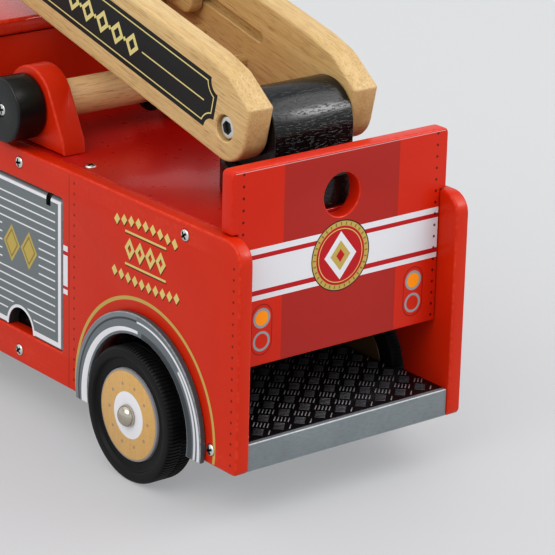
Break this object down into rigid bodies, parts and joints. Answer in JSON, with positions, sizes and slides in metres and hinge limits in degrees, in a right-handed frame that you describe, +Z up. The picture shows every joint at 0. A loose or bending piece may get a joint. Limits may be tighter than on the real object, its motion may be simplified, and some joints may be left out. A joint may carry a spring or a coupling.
{
  "type": "toy fire engine",
  "caption": "Wooden toy fire engine with rubber-tyred wheels, swivelling extending ladder, winding hose reel, hinged locker doors and a lift-off cab roof.",
  "frame": {"origin": "on the ground, below the middle of the engine", "axes": "+X forward towards the cab, +Y to the engine's left, +Z up"},
  "size_m": [0.292, 0.1426, 0.2197],
  "materials": {
    "red_painted_wood": "semi-gloss red paint over hardwood board, printed panel lines and stripes",
    "deck_red_wood": "glossy deeper red stain-paint over wood, faint grain",
    "grey_painted_wood": "satin mid-grey print and paint over wood",
    "black_painted_wood": "semi-gloss black paint over open-grained wood",
    "natural_wood": "clear-lacquered pale hardwood, fine straight grain",
    "hub_wood": "clear-lacquered wood with a printed hub face",
    "tyre_rubber": "matt black moulded rubber",
    "hose_cord": "woven black cord",
    "brass": "turned brass",
    "steel": "bright plated steel",
    "tread_black": "dark printed tread plate, satin"
  },
  "bodies": {
    "chassis": {"axle_block_front": "natural_wood", "axle_front": "steel", "axle_rear": "steel", "cab_front_panel": "red_painted_wood", "cab_rear_wall": "red_painted_wood", "cab_seat": "natural_wood", "deck_board": "deck_red_wood", "floor_board": "black_painted_wood", "front_bumper": "grey_painted_wood", "headlamp_left": "steel", "headlamp_right": "steel", "hinge_rod_left": "steel", "hinge_rod_right": "steel", "locker_bulkhead": "black_painted_wood", "mudguard_front_left": "grey_painted_wood", "mudguard_front_right": "grey_painted_wood", "mudguard_rear_left": "grey_painted_wood", "mudguard_rear_right": "grey_painted_wood", "rear_panel": "red_painted_wood", "rear_step": "grey_painted_wood", "reel_bracket_left": "red_painted_wood", "reel_bracket_right": "red_painted_wood", "side_panel_left": "red_painted_wood", "side_panel_right": "red_painted_wood", "step_tread": "tread_black"},
    "wheel_rear_left": {"hub_rear_left": "hub_wood", "tyre_rear_left": "tyre_rubber"},
    "wheel_rear_right": {"hub_rear_right": "hub_wood", "tyre_rear_right": "tyre_rubber"},
    "wheel_front_left": {"hub_front_left": "hub_wood", "tyre_front_left": "tyre_rubber"},
    "wheel_front_right": {"hub_front_right": "hub_wood", "tyre_front_right": "tyre_rubber"},
    "locker_door_left": {"locker_door_left": "grey_painted_wood"},
    "locker_door_right": {"locker_door_right": "grey_painted_wood"},
    "hose_reel": {"reel_dowel": "natural_wood", "reel_knob_left": "black_painted_wood", "reel_knob_right": "black_painted_wood", "hose_coil": "hose_cord", "hose_nozzle": "brass"},
    "turntable": {"turntable_disc": "black_painted_wood", "turntable_block": "black_painted_wood", "turntable_bolt": "steel"},
    "ladder": {"ladder_rail_left": "natural_wood", "ladder_rail_right": "natural_wood", "pivot_bolt": "steel", "outer_rung_1": "natural_wood", "outer_rung_2": "natural_wood", "outer_rung_3": "natural_wood", "outer_rung_4": "natural_wood", "outer_rung_5": "natural_wood"},
    "ladder_extension": {"extension_rail_left": "natural_wood", "extension_rail_right": "natural_wood", "extension_rung_1": "natural_wood", "extension_rung_2": "natural_wood", "extension_rung_3": "natural_wood", "extension_rung_4": "natural_wood"},
    "roof": {"cab_roof": "red_painted_wood", "roof_locator": "natural_wood"}
  },
  "joints": [
    {"name": "wheel_rear_left_spin", "type": "hinge", "parent": "chassis", "child": "wheel_rear_left", "pos_m": [-0.0817, 0.058, 0.0295], "axis": [0, 1, 0], "continuous": true},
    {"name": "wheel_rear_right_spin", "type": "hinge", "parent": "chassis", "child": "wheel_rear_right", "pos_m": [-0.0817, -0.058, 0.0295], "axis": [0, 1, 0], "continuous": true},
    {"name": "wheel_front_left_spin", "type": "hinge", "parent": "chassis", "child": "wheel_front_left", "pos_m": [0.09, 0.058, 0.0295], "axis": [0, 1, 0], "continuous": true},
    {"name": "wheel_front_right_spin", "type": "hinge", "parent": "chassis", "child": "wheel_front_right", "pos_m": [0.09, -0.058, 0.0295], "axis": [0, 1, 0], "continuous": true},
    {"name": "locker_door_left_hinge", "type": "hinge", "parent": "chassis", "child": "locker_door_left", "pos_m": [0.01, 0.0567, 0.1032], "axis": [1, 0, 0], "range_deg": [0, 90]},
    {"name": "locker_door_right_hinge", "type": "hinge", "parent": "chassis", "child": "locker_door_right", "pos_m": [0.01, -0.0567, 0.1032], "axis": [-1, 0, 0], "range_deg": [0, 90]},
    {"name": "hose_reel_spin", "type": "hinge", "parent": "chassis", "child": "hose_reel", "pos_m": [0.016, 0, 0.137], "axis": [0, 1, 0], "continuous": true},
    {"name": "turntable_swing", "type": "hinge", "parent": "chassis", "child": "turntable", "pos_m": [-0.0996, 0, 0.127], "axis": [0, 0, 1], "range_deg": [-20, 20]},
    {"name": "ladder_raise", "type": "hinge", "parent": "turntable", "child": "ladder", "pos_m": [-0.0996, 0, 0.1525], "axis": [0, -1, 0], "range_deg": [0, 45]},
    {"name": "ladder_extend", "type": "slide", "parent": "ladder", "child": "ladder_extension", "axis": [0.9732, 0, 0.23], "range_m": [-0.045, 0.058]},
    {"name": "roof_lift", "type": "slide", "parent": "chassis", "child": "roof", "axis": [0, 0, 1], "range_m": [0, 0.006]}
  ]
}
